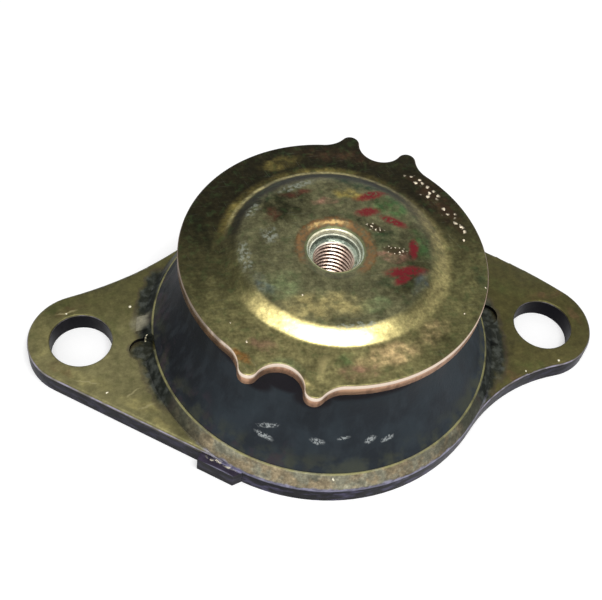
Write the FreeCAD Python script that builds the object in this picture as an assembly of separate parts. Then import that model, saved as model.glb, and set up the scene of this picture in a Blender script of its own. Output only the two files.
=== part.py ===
import FreeCAD, Part
import math
import os

# Transmission mount. Millimetres, +Z up, origin on the bush axis at the underside of the ears.
# The two ears lie along X. The disc looks the same after half a turn about Z.

Vector = FreeCAD.Vector
centre = Vector(0, 0, 0)
zAxis = Vector(0, 0, 1)

# Base plate: sheet, outline and fixing holes
plateThickness = 6.0
bodyRadius = 50.5
earSetOut = 17.1
earRadius = 15.5
earInset = 0.7
earShift = 0.8
earHoleDiameter = 17.1
nearWaistRadius = 48.0
farWaistRadius = 100.0
farFlankBow = 150.0
plateEdgeRound = 1.1
earHoleRound = 0.7

# Collar pressed up round the rubber, and the window that the rubber passes through
collarRise = 3.4
collarSlopeRun = 2.5
collarLipRound = 0.5
collarFootRound = 1.0
collarWallRun = 3.0
footWidth = 4.2
windowRadius = 33.0

# Coding tab on the straight flank, measured along it from where the round body begins
tabStart = 10.8
tabEnd = 0.2
tabBevel = 1.6
tabReach = 2.2
tabDrop = 0.9

# Marks in the collar slope beside each ear: a round pocket and an easier ramp next to it
pocketRadius = 3.9
pocketAngle = 4.6
pocketOffset = 0.1
pocketDepth = 1.3
rampWidth = 5.0
rampSideRun = 2.4
rampAngle = 4.8
rampInset = 1.2
rampReach = 4.4
rampDrop = 0.2
rampEndHeight = 0.5

# Top disc: sheet, raised centre and sunk edge round the bush
rimHeight = 41.0
rimRadius = 41.0
discThickness = 3.8
plateauRise = 2.5
plateauRadius = 24.6
plateauSlopeRun = 5.2
shoulderRound = 9.0
plateauFootRound = 2.5
sunkWidth = 2.6
sunkDepth = 0.9
discEdgeRound = 0.6

# Lobe pairs on the rim, one at the front and the same one half a turn round
notchAngle = -115.3
notchRadius = 6.2
notchDepth = 4.7
lobeRadius = 2.6
lobeReach = 4.2
lobeBlend = 8.0

# Bush: M12 x 1.5 thread, drawn as its smooth minor bore
threadDiameter = 12.0
threadPitch = 1.5
threadDepth = 15.5
bushNeckRadius = 7.6
bushBodyRadius = 10.5
bushFloor = 2.8
bushLipWidth = 0.85
bushLipDrop = 0.45
leadInRadius = 6.5
leadInDepth = 2.6
threadEntry = 3.3
bushEdgeRound = 1.5

# Rubber spring: overhangs, lip round the window and hollow underneath
metalLipWidth = 0.5
rimOverhang = 3.6
toeHeight = 2.0
toeRun = 1.6
waistHeight = 14.0
waistInset = 2.1
waistBlend = 22.0
liningThickness = 3.0
wrapWidth = 4.5
wrapThickness = 1.3
hollowTopRadius = 11.0
hollowRound = 6.0
webThickness = 3.0

# Heights and radii that follow from the sizes above
earDistance = bodyRadius + earSetOut
collarHeight = plateThickness + collarRise
collarLipRadius = bodyRadius - collarSlopeRun
hollowRimRadius = bodyRadius - footWidth
hollowCeilingRadius = hollowRimRadius - collarWallRun
plateauHeight = rimHeight + plateauRise
discUnderside = rimHeight - discThickness
bushTop = plateauHeight - sunkDepth
threadTop = bushTop - threadEntry
threadMinorRadius = (threadDiameter - 1.0825 * threadPitch) / 2
bushBottom = threadTop - threadDepth - bushFloor


def polar(radius, degrees):
    angle = math.radians(degrees)
    return Vector(radius * math.cos(angle), radius * math.sin(angle), 0)


def unit(vector):
    return vector * (1 / vector.Length)


def circlesMeet(first, firstRadius, second, secondRadius, side):
    # Crossing of two circles, left (1) or right (-1) of the line from the first centre to the second
    between = second - first
    along = (between.Length ** 2 + firstRadius ** 2 - secondRadius ** 2) / (2 * between.Length)
    across = math.sqrt(firstRadius ** 2 - along ** 2)
    ahead = unit(between)
    return first + ahead * along + Vector(-ahead.y, ahead.x, 0) * (side * across)


def towards(start, end, distance):
    return start + unit(end - start) * distance


def arcEdge(middle, start, end):
    # Arc of less than half a turn about the point middle
    radius = (start - middle).Length
    top = middle + unit(start + end - middle * 2) * radius
    return Part.Arc(start, top, end).toShape()


def lineEdge(start, end):
    return Part.LineSegment(start, end).toShape()


def halfTurn(edges):
    # The edges and their copies half a turn round, as one closed face
    copies = [edge.rotated(centre, zAxis, 180) for edge in edges]
    return Part.Face(Part.Wire(Part.__sortEdges__(edges + copies)))


def roundedSection(corners):
    # Closed section in the XZ plane from (radius, height, rounding) corners
    points = [Vector(radius, 0, height) for radius, height, rounding in corners]
    edges = []
    ends = []
    for index, (radius, height, rounding) in enumerate(corners):
        point = points[index]
        before = points[index - 1]
        after = points[(index + 1) % len(points)]
        if rounding == 0:
            ends.append((point, point))
            continue
        back = unit(before - point)
        ahead = unit(after - point)
        half = back.getAngle(ahead) / 2
        reach = rounding / math.tan(half)
        reach = min(reach, 0.48 * min((before - point).Length, (after - point).Length))
        size = reach * math.tan(half)
        bisector = unit(back + ahead)
        middle = point + bisector * (size / math.sin(half))
        start = point + back * reach
        end = point + ahead * reach
        edges.append(Part.Arc(start, middle - bisector * size, end).toShape())
        ends.append((start, end))
    for index, (start, end) in enumerate(ends):
        following = ends[(index + 1) % len(ends)][0]
        if (following - end).Length > 1e-6:
            edges.append(lineEdge(end, following))
    return Part.Face(Part.Wire(Part.__sortEdges__(edges)))


def turned(corners):
    return roundedSection(corners).revolve(centre, zAxis, 360)


def cylinder(radius, low, high, place=centre):
    return Part.makeCylinder(radius, high - low, place + zAxis * low)


def bothEars(shape):
    return [shape, shape.rotated(centre, zAxis, 180)]


def roundEdges(shape, radius, chosen):
    edges = [edge for edge in shape.Edges if chosen(edge)]
    return shape.makeFillet(radius, edges)


def atHeight(edge, height):
    box = edge.BoundBox
    return abs(box.ZMin - height) < 1e-4 and abs(box.ZMax - height) < 1e-4


def earEnd(side):
    # Centre of the round end of the right (1) or left (-1) ear, a little off its hole
    return Vector(side * (earDistance - earInset), earShift, 0)


def flankNormal(ear):
    # Direction square to the straight line that touches the body circle and the ear on its left
    heading = math.atan2(ear.y, ear.x)
    return polar(1, math.degrees(heading + math.acos((bodyRadius - earRadius) / ear.Length)))


def hollowFlank(ear, waist):
    hollow = circlesMeet(centre, bodyRadius + waist, ear, earRadius + waist, -1)
    return arcEdge(hollow, towards(centre, hollow, bodyRadius), towards(ear, hollow, earRadius))


def bowedFlank(ear, bow):
    crown = circlesMeet(centre, bow - bodyRadius, ear, bow - earRadius, -1)
    return arcEdge(crown, towards(crown, ear, bow), towards(crown, centre, bow))


def straightFlank(ear):
    normal = flankNormal(ear)
    return lineEdge(ear + normal * earRadius, normal * bodyRadius)


def plateOutline():
    # Each ear has a hollow flank, a round end and a full flank, bowed on the right and straight on the left
    right = earEnd(1)
    left = earEnd(-1)
    hollows = [hollowFlank(right, nearWaistRadius), hollowFlank(left, farWaistRadius)]
    flanks = [bowedFlank(right, farFlankBow), straightFlank(left)]
    edges = hollows + flanks
    for index, ear in enumerate((right, left)):
        hollow = hollows[index]
        flank = flanks[index]
        edges.append(arcEdge(ear, hollow.lastVertex().Point, flank.firstVertex().Point))
        edges.append(arcEdge(centre, flank.lastVertex().Point, hollows[1 - index].firstVertex().Point))
    return Part.Face(Part.Wire(Part.__sortEdges__(edges)))


def codingTab():
    # Small step on the straight flank, its top just under the top of the plate
    normal = flankNormal(earEnd(-1))
    along = Vector(normal.y, -normal.x, 0)
    foot = bodyRadius - tabReach
    reach = bodyRadius + tabReach
    corners = [
        normal * foot + along * tabStart,
        normal * reach + along * tabStart,
        normal * reach + along * tabEnd,
        normal * foot + along * (tabEnd - 2 * tabBevel),
    ]
    return Part.Face(Part.makePolygon(corners + corners[:1])).extrude(zAxis * (plateThickness - tabDrop))


def collarBlank():
    return turned([
        (0, 0, 0),
        (bodyRadius, 0, 0),
        (bodyRadius, plateThickness, collarFootRound),
        (collarLipRadius, collarHeight, collarLipRound),
        (0, collarHeight, 0),
    ])


def collarHollow():
    # Space under the raised part of the plate
    return turned([
        (0, -1, 0),
        (hollowRimRadius, -1, 0),
        (hollowRimRadius, 0, 0),
        (hollowCeilingRadius, collarRise, 0),
        (0, collarRise, 0),
    ])


def rampSection(radius, height):
    # Upright section of the ramp with leaning sides, square to the radius
    half = rampWidth / 2
    corners = [
        Vector(radius, -half - rampSideRun, 0),
        Vector(radius, -half, height),
        Vector(radius, half, height),
        Vector(radius, half + rampSideRun, 0),
    ]
    return Part.makePolygon(corners + corners[:1])


def collarRamp():
    # Easier slope beside the pocket, from just under the lip of the collar down to the ear
    inner = rampSection(collarLipRadius - rampInset, collarHeight - rampDrop)
    outer = rampSection(collarLipRadius + rampReach, plateThickness + rampEndHeight)
    ramp = Part.makeLoft([inner, outer], True, True)
    return ramp.rotated(centre, zAxis, -rampAngle)


def collarPocket():
    place = polar(bodyRadius + pocketOffset, pocketAngle)
    return cylinder(pocketRadius, plateThickness - pocketDepth, collarHeight + 1, place)


def makeBasePlate():
    plate = plateOutline().extrude(zAxis * plateThickness)
    plate = roundEdges(plate, plateEdgeRound, lambda edge: atHeight(edge, plateThickness))
    plate = plate.fuse([collarBlank(), codingTab()] + bothEars(collarRamp()))
    plate = plate.removeSplitter()
    plate = plate.cut([collarHollow(), cylinder(windowRadius, 0, collarHeight + 1)])
    plate = plate.cut(bothEars(collarPocket()))
    ear = Vector(earDistance, 0, 0)
    holeRadius = earHoleDiameter / 2
    hole = cylinder(holeRadius, -1, plateThickness + 1, ear)
    plate = plate.cut(bothEars(hole))

    def isHoleEdge(edge):
        round = hasattr(edge.Curve, "Radius") and abs(edge.Curve.Radius - holeRadius) < 1e-4
        return round and atHeight(edge, plateThickness)

    return roundEdges(plate, earHoleRound, isHoleEdge)


def lobePair():
    # Edges of one lobe, the notch and the other lobe, from rim to rim
    notch = polar(rimRadius + lobeReach - notchDepth + notchRadius - lobeRadius, notchAngle)
    edges = []
    rimEnds = []
    notchEnds = []
    for side in (-1, 1):
        lobe = circlesMeet(centre, rimRadius + lobeReach - lobeRadius, notch, notchRadius + lobeRadius, side)
        blend = circlesMeet(centre, rimRadius + lobeBlend, lobe, lobeRadius + lobeBlend, side)
        rimEnd = towards(centre, blend, rimRadius)
        blendEnd = towards(lobe, blend, lobeRadius)
        notchEnd = towards(lobe, notch, lobeRadius)
        edges.append(arcEdge(blend, rimEnd, blendEnd))
        edges.append(arcEdge(lobe, blendEnd, notchEnd))
        rimEnds.append(rimEnd)
        notchEnds.append(notchEnd)
    edges.append(arcEdge(notch, notchEnds[0], notchEnds[1]))
    return edges, rimEnds


def discOutline():
    edges, (before, after) = lobePair()
    edges.append(arcEdge(centre, after, before * -1))
    return halfTurn(edges)


def discSection():
    beyond = rimRadius + 2 * lobeReach
    footRadius = plateauRadius + plateauSlopeRun
    slopeLength = math.hypot(plateauRise, plateauSlopeRun)
    inset = discThickness * (slopeLength - plateauSlopeRun) / plateauRise
    under = plateauHeight - discThickness
    return turned([
        (bushNeckRadius, under, 0),
        (plateauRadius - inset, under, shoulderRound - discThickness),
        (footRadius - inset, discUnderside, plateauFootRound + discThickness),
        (beyond, discUnderside, 0),
        (beyond, rimHeight, 0),
        (footRadius, rimHeight, plateauFootRound),
        (plateauRadius, plateauHeight, shoulderRound),
        (bushNeckRadius + sunkWidth, plateauHeight, 0),
        (bushNeckRadius, bushTop, 0),
    ])


def makeTopDisc():
    blank = discOutline().extrude(zAxis * (plateauHeight + 1))
    disc = discSection().common(blank)
    return roundEdges(disc, discEdgeRound, isRimEdge)


def isRimEdge(edge):
    # Upper edge of the outline, outside the foot of the raised centre
    start = edge.Vertexes[0].Point
    outside = math.hypot(start.x, start.y) > plateauRadius + plateauSlopeRun + 1
    return outside and atHeight(edge, rimHeight)


def makeBush():
    return turned([
        (0, bushBottom, 0),
        (bushBodyRadius, bushBottom, bushEdgeRound),
        (bushBodyRadius, plateauHeight - discThickness, 0),
        (bushNeckRadius, plateauHeight - discThickness, 0),
        (bushNeckRadius, bushTop, 0),
        (bushNeckRadius - bushLipWidth, bushTop - bushLipDrop, 0),
        (leadInRadius, bushTop - leadInDepth, 0),
        (threadMinorRadius, threadTop, 0),
        (threadMinorRadius, bushBottom + bushFloor, 0),
        (0, bushBottom + bushFloor, 0),
    ])


def makeRubber(metal):
    # One moulding: a blank that fills the mould, less the steel pieces laid into it
    toeRadius = collarLipRadius - metalLipWidth
    topRadius = rimRadius - rimOverhang
    mouthRadius = windowRadius - liningThickness
    wrapRadius = windowRadius + wrapWidth
    lowest = collarRise - wrapThickness
    insidePlate = collarHeight - plateThickness / 2
    insideDisc = plateauHeight - discThickness / 2
    blank = turned([
        (0, bushBottom - webThickness, 0),
        (hollowTopRadius, bushBottom - webThickness, hollowRound),
        (mouthRadius, lowest, 0),
        (wrapRadius, lowest, 0),
        (wrapRadius, insidePlate, 0),
        (toeRadius, insidePlate, 0),
        (toeRadius, collarHeight + toeHeight / 4, 0),
        (toeRadius - toeRun, collarHeight + toeHeight, 1.0),
        (topRadius + waistInset, collarHeight + waistHeight, waistBlend),
        (topRadius, discUnderside, 0),
        (plateauRadius, insideDisc, 0),
        (0, insideDisc, 0),
    ])
    bore = cylinder(bushNeckRadius, bushBottom + bushFloor, plateauHeight)
    return blank.cut(metal + [bore])


def main():
    os.makedirs("parts", exist_ok=True)
    plate = makeBasePlate()
    disc = makeTopDisc()
    bush = makeBush()
    rubber = makeRubber([plate, disc, bush])
    nodes = {"base_plate": plate, "top_disc": disc, "threaded_bush": bush, "rubber_spring": rubber}
    for name, shape in nodes.items():
        solid = shape.Solids[0]
        print(name, "solids", len(shape.Solids), "valid", solid.isValid(), "volume", round(solid.Volume, 1))
        solid.exportStep("parts/" + name + ".step")


main()
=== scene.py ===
import math

import bmesh
import bpy
from mathutils import Matrix, Vector


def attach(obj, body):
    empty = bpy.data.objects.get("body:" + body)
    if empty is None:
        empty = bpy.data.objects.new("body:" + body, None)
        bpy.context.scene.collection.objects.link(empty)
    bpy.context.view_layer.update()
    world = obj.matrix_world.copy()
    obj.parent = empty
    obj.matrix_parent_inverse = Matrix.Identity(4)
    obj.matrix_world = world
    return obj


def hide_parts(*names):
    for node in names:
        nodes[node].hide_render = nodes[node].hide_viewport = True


print("loading the packed frame")
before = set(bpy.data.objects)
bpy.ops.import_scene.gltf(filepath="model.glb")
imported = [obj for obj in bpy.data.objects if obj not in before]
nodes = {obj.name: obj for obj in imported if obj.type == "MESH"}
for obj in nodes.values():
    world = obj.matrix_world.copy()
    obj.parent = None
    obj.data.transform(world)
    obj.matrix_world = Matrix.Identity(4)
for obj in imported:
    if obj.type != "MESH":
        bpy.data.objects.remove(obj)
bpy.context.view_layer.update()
mm = 0.001


# camera, light and floor come first, so that every piece is judged under them

view = {
    "azimuth": -13.923,  # degrees round Z
    "elevation": 52.227,
    "roll": 9.38,
    "distance": 296.69,  # mm from the aim point
    "right": -6.755,  # mm that the aim point lies off the axis
    "up": 8.141,
    "aimHeight": 6.0,
    "lens": 61.39,
    "sensor": 36,
    "clip": (0.01, 20),  # m
}


def makeCamera():
    azimuth = math.radians(view["azimuth"])
    elevation = math.radians(view["elevation"])
    roll = math.radians(view["roll"])
    level = math.cos(elevation)
    back = Vector((math.sin(azimuth) * level, -math.cos(azimuth) * level, math.sin(elevation)))
    side = Vector((math.cos(azimuth), math.sin(azimuth), 0))
    up = back.cross(side)
    turnedSide = side * math.cos(roll) + up * math.sin(roll)
    turnedUp = up * math.cos(roll) - side * math.sin(roll)
    aim = side * view["right"] + up * view["up"] + Vector((0, 0, view["aimHeight"]))
    eye = back * view["distance"] + aim
    data = bpy.data.cameras.new("camera")
    data.lens = view["lens"]
    data.sensor_width = view["sensor"]
    data.clip_start, data.clip_end = view["clip"]
    camera = bpy.data.objects.new("camera", data)
    facing = Matrix((turnedSide, turnedUp, back)).transposed().to_4x4()
    camera.matrix_world = Matrix.Translation(eye * mm) @ facing
    bpy.context.scene.collection.objects.link(camera)
    bpy.context.scene.camera = camera


class Value:
    # one socket of a material, so that masks can be written as sums

    def __init__(self, shader, socket):
        self.shader = shader
        self.socket = socket

    def math(self, operation, first, second):
        return self.shader.node("ShaderNodeMath", {"operation": operation}, {0: first, 1: second})

    def __add__(self, other):
        return self.math("ADD", self, other)

    __radd__ = __add__

    def __sub__(self, other):
        return self.math("SUBTRACT", self, other)

    def __rsub__(self, other):
        return self.math("SUBTRACT", other, self)

    def __mul__(self, other):
        return self.math("MULTIPLY", self, other)

    __rmul__ = __mul__

    def __rpow__(self, other):
        return self.math("POWER", other, self)

    def over(self, other):  # the larger of the two
        return self.math("MAXIMUM", self, other)

    def under(self, other):
        return self.math("MINIMUM", self, other)


class Shader:
    # one material and its nodes

    def __init__(self, owner):
        self.material = owner
        owner.use_nodes = True
        self.tree = owner.node_tree
        self.tree.nodes.clear()

    def node(self, kind, settings=None, inputs=None, out=0):  # any node: its type, settings and sockets
        made = self.tree.nodes.new(kind)
        for name, setting in (settings or {}).items():
            setattr(made, name, setting)
        for name, value in (inputs or {}).items():
            socket = made.inputs[name]
            if isinstance(value, Value):
                self.tree.links.new(value.socket, socket)
            elif isinstance(value, tuple) and socket.type == "RGBA":
                socket.default_value = (*value, 1)
            else:
                socket.default_value = value
        return Value(self, made.outputs[out]) if made.outputs else None

    def vector(self, operation, inputs, out=0):
        return self.node("ShaderNodeVectorMath", {"operation": operation}, inputs, out)

    def place(self):  # Object coordinates in mm
        point = self.node("ShaderNodeTexCoord", out="Object")
        return self.vector("SCALE", {0: point, "Scale": 1 / mm})

    def split(self, vector):
        parts = self.node("ShaderNodeSeparateXYZ", inputs={0: vector}).socket.node
        return [Value(self, output) for output in parts.outputs]

    def flat(self, vector):  # the vector without its Z
        return self.vector("MULTIPLY", {0: vector, 1: (1, 1, 0)})

    def length(self, vector):
        return self.vector("LENGTH", {0: vector}, "Value")

    def reach(self, vector):  # distance from the axis
        return self.length(self.flat(vector))

    def bearing(self, vector, degrees):  # 1 where a point lies that way from the axis, -1 on the other side
        heading = self.vector("NORMALIZE", {0: self.flat(vector)})
        way = (math.cos(math.radians(degrees)), math.sin(math.radians(degrees)), 0)
        return self.vector("DOT_PRODUCT", {0: heading, 1: way}, "Value")

    def ramp(self, value, low, high):  # 0 below low, 1 above high, or the other way round
        ends = (low, high, 0.0, 1.0) if low < high else (high, low, 1.0, 0.0)
        sockets = ("From Min", "From Max", "To Min", "To Max")
        inputs = {"Value": value, **dict(zip(sockets, ends))}
        return self.node("ShaderNodeMapRange", {"interpolation_type": "SMOOTHSTEP"}, inputs)

    def band(self, value, low, high, soft):
        return self.ramp(value, low - soft, low + soft) * self.ramp(value, high + soft, high - soft)

    def grain(self, vector, size, detail=3.0, rough=0.55):  # noise whose lumps are size mm wide
        inputs = {"Vector": vector, "Scale": 1 / size, "Detail": detail, "Roughness": rough}
        return self.node("ShaderNodeTexNoise", None, inputs)

    def spread(self, vector, size, low, high, detail=3.0):  # noise stretched to a 0..1 mask
        return self.ramp(self.grain(vector, size, detail), low, high)

    def mapped(self, vector, location=(0, 0, 0), turn=0.0, scale=(1, 1, 1)):
        rotation = (0, 0, math.radians(turn))
        inputs = {"Vector": vector, "Location": location, "Rotation": rotation, "Scale": scale}
        return self.node("ShaderNodeMapping", {"vector_type": "TEXTURE"}, inputs)

    def spot(self, vector, x, y, long, wide, turn=0.0, core=0.35):  # soft oval round (x, y)
        near = self.mapped(vector, (x, y, 0), turn, (long, wide, 1))
        return self.ramp(self.reach(near), 1.0, core)

    def mix(self, first, second, factor):
        return self.node("ShaderNodeMix", {"data_type": "RGBA"}, {0: factor, 6: first, 7: second}, 2)

    def shade(self, colour, factor):  # the colour times a value
        return self.vector("SCALE", {0: colour, "Scale": factor})

    def bump(self, height, depth, strength=1.0, normal=None):  # depth in mm at height 1
        inputs = {"Strength": strength, "Distance": depth * mm, "Height": height}
        if normal:
            inputs["Normal"] = normal
        return self.node("ShaderNodeBump", None, inputs)

    def finish(self, inputs):
        surface = self.node("ShaderNodeBsdfPrincipled", None, inputs)
        self.node("ShaderNodeOutputMaterial", None, {"Surface": surface})
        return self.material


def paint(red, green, blue):  # colour as a screen shows it, 0 to 255
    shares = [level / 255 for level in (red, green, blue)]
    return tuple(share / 12.92 if share < 0.0404 else ((share + 0.055) / 1.055) ** 2.4 for share in shares)


lights = {
    "worldLight": 0.45,
    "overheadPower": 4.6,
    "overheadPlace": (0.02, -0.25, 0.9),
    "overheadSize": (0.66, 0.22),
    "fillPower": 0.6,
    "fillPlace": (-0.35, -0.75, 0.55),
    "fillSize": (0.4, 0.4),
    "aim": (0, 0, 0.03),
    "floorReach": 3.0,
    "floorColour": (243, 243, 243),
    "floorGlow": 0.3,
}


def makeWorld():
    world = bpy.data.worlds.new("studio")
    bpy.context.scene.world = world
    shader = Shader(world)
    path = shader.node("ShaderNodeLightPath").socket.node
    kinds = ("Is Camera Ray", "Is Glossy Ray", "Is Transmission Ray")
    camera, glossy, through = [Value(shader, path.outputs[kind]) for kind in kinds]
    white = camera.over(glossy).over(through)
    level = white + (1 - white) * lights["worldLight"]
    background = shader.node("ShaderNodeBackground", None, {"Color": (1.0, 1.0, 1.0), "Strength": level})
    shader.node("ShaderNodeOutputWorld", None, {"Surface": background})


def makeLamp(name):
    power, place, size = [lights[name + part] for part in ("Power", "Place", "Size")]
    data = bpy.data.lights.new(name, "AREA")
    data.shape = "RECTANGLE"
    data.size, data.size_y = size
    data.energy = power
    lamp = bpy.data.objects.new(name, data)
    lamp.location = place
    lamp.rotation_mode = "QUATERNION"
    lamp.rotation_quaternion = (Vector(lights["aim"]) - Vector(place)).to_track_quat("-Z", "Y")
    bpy.context.scene.collection.objects.link(lamp)


def makeFloor():
    mesh = bmesh.new()
    bmesh.ops.create_grid(mesh, x_segments=2, y_segments=2, size=lights["floorReach"])
    data = bpy.data.meshes.new("floor")
    mesh.to_mesh(data)
    mesh.free()
    floor = bpy.data.objects.new("floor", data)
    bpy.context.scene.collection.objects.link(floor)
    shader = Shader(bpy.data.materials.new("paleFloor"))
    seen = shader.node("ShaderNodeLightPath", out="Is Camera Ray")
    floorInputs = {
        "Base Color": paint(*lights["floorColour"]),
        "Roughness": 0.9,
        "Emission Color": shader.shade((1.0, 1.0, 1.0), seen * lights["floorGlow"]),
        "Emission Strength": 1.0,
        "Specular IOR Level": 0.1,
    }
    data.materials.append(shader.finish(floorInputs))


print("camera, light and floor")
makeCamera()
makeWorld()
makeLamp("overhead")
makeLamp("fill")
makeFloor()
bpy.context.scene.view_settings.view_transform = "Standard"


def addPiece(name, mesh, material, replaced):
    data = bpy.data.meshes.new(name)
    for face in mesh.faces:
        face.smooth = True
    mesh.to_mesh(data)
    mesh.free()
    data.materials.append(material)
    piece = bpy.data.objects.new(name, data)
    bpy.context.scene.collection.objects.link(piece)
    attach(piece, "root")
    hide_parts(replaced)


def sharpen(mesh, degrees):  # edges folded more than this stay crisp
    for edge in mesh.edges:
        edge.smooth = len(edge.link_faces) == 2 and edge.calc_face_angle() < math.radians(degrees)


def copyOf(node):
    mesh = bmesh.new()
    mesh.from_mesh(nodes[node].data)
    bmesh.ops.remove_doubles(mesh, verts=mesh.verts, dist=1e-6)
    bmesh.ops.recalc_face_normals(mesh, faces=mesh.faces)
    sharpen(mesh, 30)
    return mesh


def wander(shader, point, size, reach):  # the point pushed about by noise, so that patches get ragged edges
    inputs = {"Vector": point, "Scale": 1 / size, "Detail": 3.0}
    drift = shader.node("ShaderNodeTexNoise", None, inputs, "Color")
    centred = shader.vector("SUBTRACT", {0: drift, 1: (0.5, 0.5, 0.5)})
    moved = shader.vector("SCALE", {0: centred, "Scale": reach})
    return shader.vector("ADD", {0: point, 1: moved})


def mottle(shader, point, brush, depth=1.0):  # factor that breaks plated steel up, brushed one way
    blotches = shader.grain(wander(shader, point, 6, 6), 7.5, 3) - 0.5
    clouds = shader.grain(point, 2.2, 4, 0.65) - 0.5
    lines = shader.grain(shader.mapped(point, turn=brush, scale=(5.0, 0.6, 0.6)), 1, 3) - 0.5
    fine = shader.grain(point, 0.8, 2, 0.6) - 0.5
    return 2 ** ((blotches * 1.9 + clouds * 3.0 + lines * 0.8 + fine * 1.7) * depth)


def tinted(shader, point, colour, look, veil):  # each tone of the list laid on as a ragged patch
    for name, strength, x, y, long, wide, turn in look["tones"]:
        patch = shader.spot(point, x, y, long, wide, turn) * veil * strength
        colour = shader.mix(colour, look[name], patch.under(1.0))
    return colour


def patches(shader, point, spots):  # soft patches joined into one mask
    mask = None
    for x, y, long, wide, turn in spots:
        spot = shader.spot(point, x, y, long, wide, turn)
        mask = spot if mask is None else mask.over(spot)
    return mask


def smoothShare(value):
    value = min(max(value, 0.0), 1.0)
    return value * value * (3 - 2 * value)


def soften(mesh, geom, size, steps, kind):
    bmesh.ops.bevel(
        mesh,
        geom=geom,
        offset=size * mm,
        offset_type="OFFSET",
        segments=steps,
        profile=0.5,
        affect=kind,
        material=-1,
    )


def lathe(section):  # open line of (radius, height, rounding) points in the XZ plane, ready to be turned
    mesh = bmesh.new()
    verts = [mesh.verts.new((radius * mm, 0, height * mm)) for radius, height, rounding in section]
    for first, second in zip(verts, verts[1:]):
        mesh.edges.new((first, second))
    for vert, (radius, height, rounding) in list(zip(verts, section)):
        if rounding:
            soften(mesh, [vert], rounding, 6, "VERTICES")
    return mesh


def turn(mesh, sections):  # sections of a turn, each with its own number of steps
    rest = list(mesh.verts) + list(mesh.edges)
    for degrees, steps in sections:
        angle = math.radians(degrees)
        made = bmesh.ops.spin(mesh, geom=rest, axis=(0, 0, 1), angle=angle, steps=steps, use_duplicate=False)
        rest = made["geom_last"]
    bmesh.ops.remove_doubles(mesh, verts=mesh.verts, dist=2e-6)
    bmesh.ops.recalc_face_normals(mesh, faces=mesh.faces)


def newShader(name):
    return Shader(bpy.data.materials.new(name))


def streaks(shader, point, turn, long, wide, low, high):  # fine scratches along one direction
    laid = shader.mapped(point, (0, 0, 0), turn, (long, wide, wide))
    return shader.ramp(shader.grain(laid, 1, 2), low, high)


def specks(shader, point, spacing, size):  # small round dots, one in each cell
    inputs = {"Vector": point, "Scale": 1 / spacing}
    near = shader.node("ShaderNodeTexVoronoi", None, inputs, "Distance")
    return shader.ramp(near, size, size * 0.5)


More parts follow.
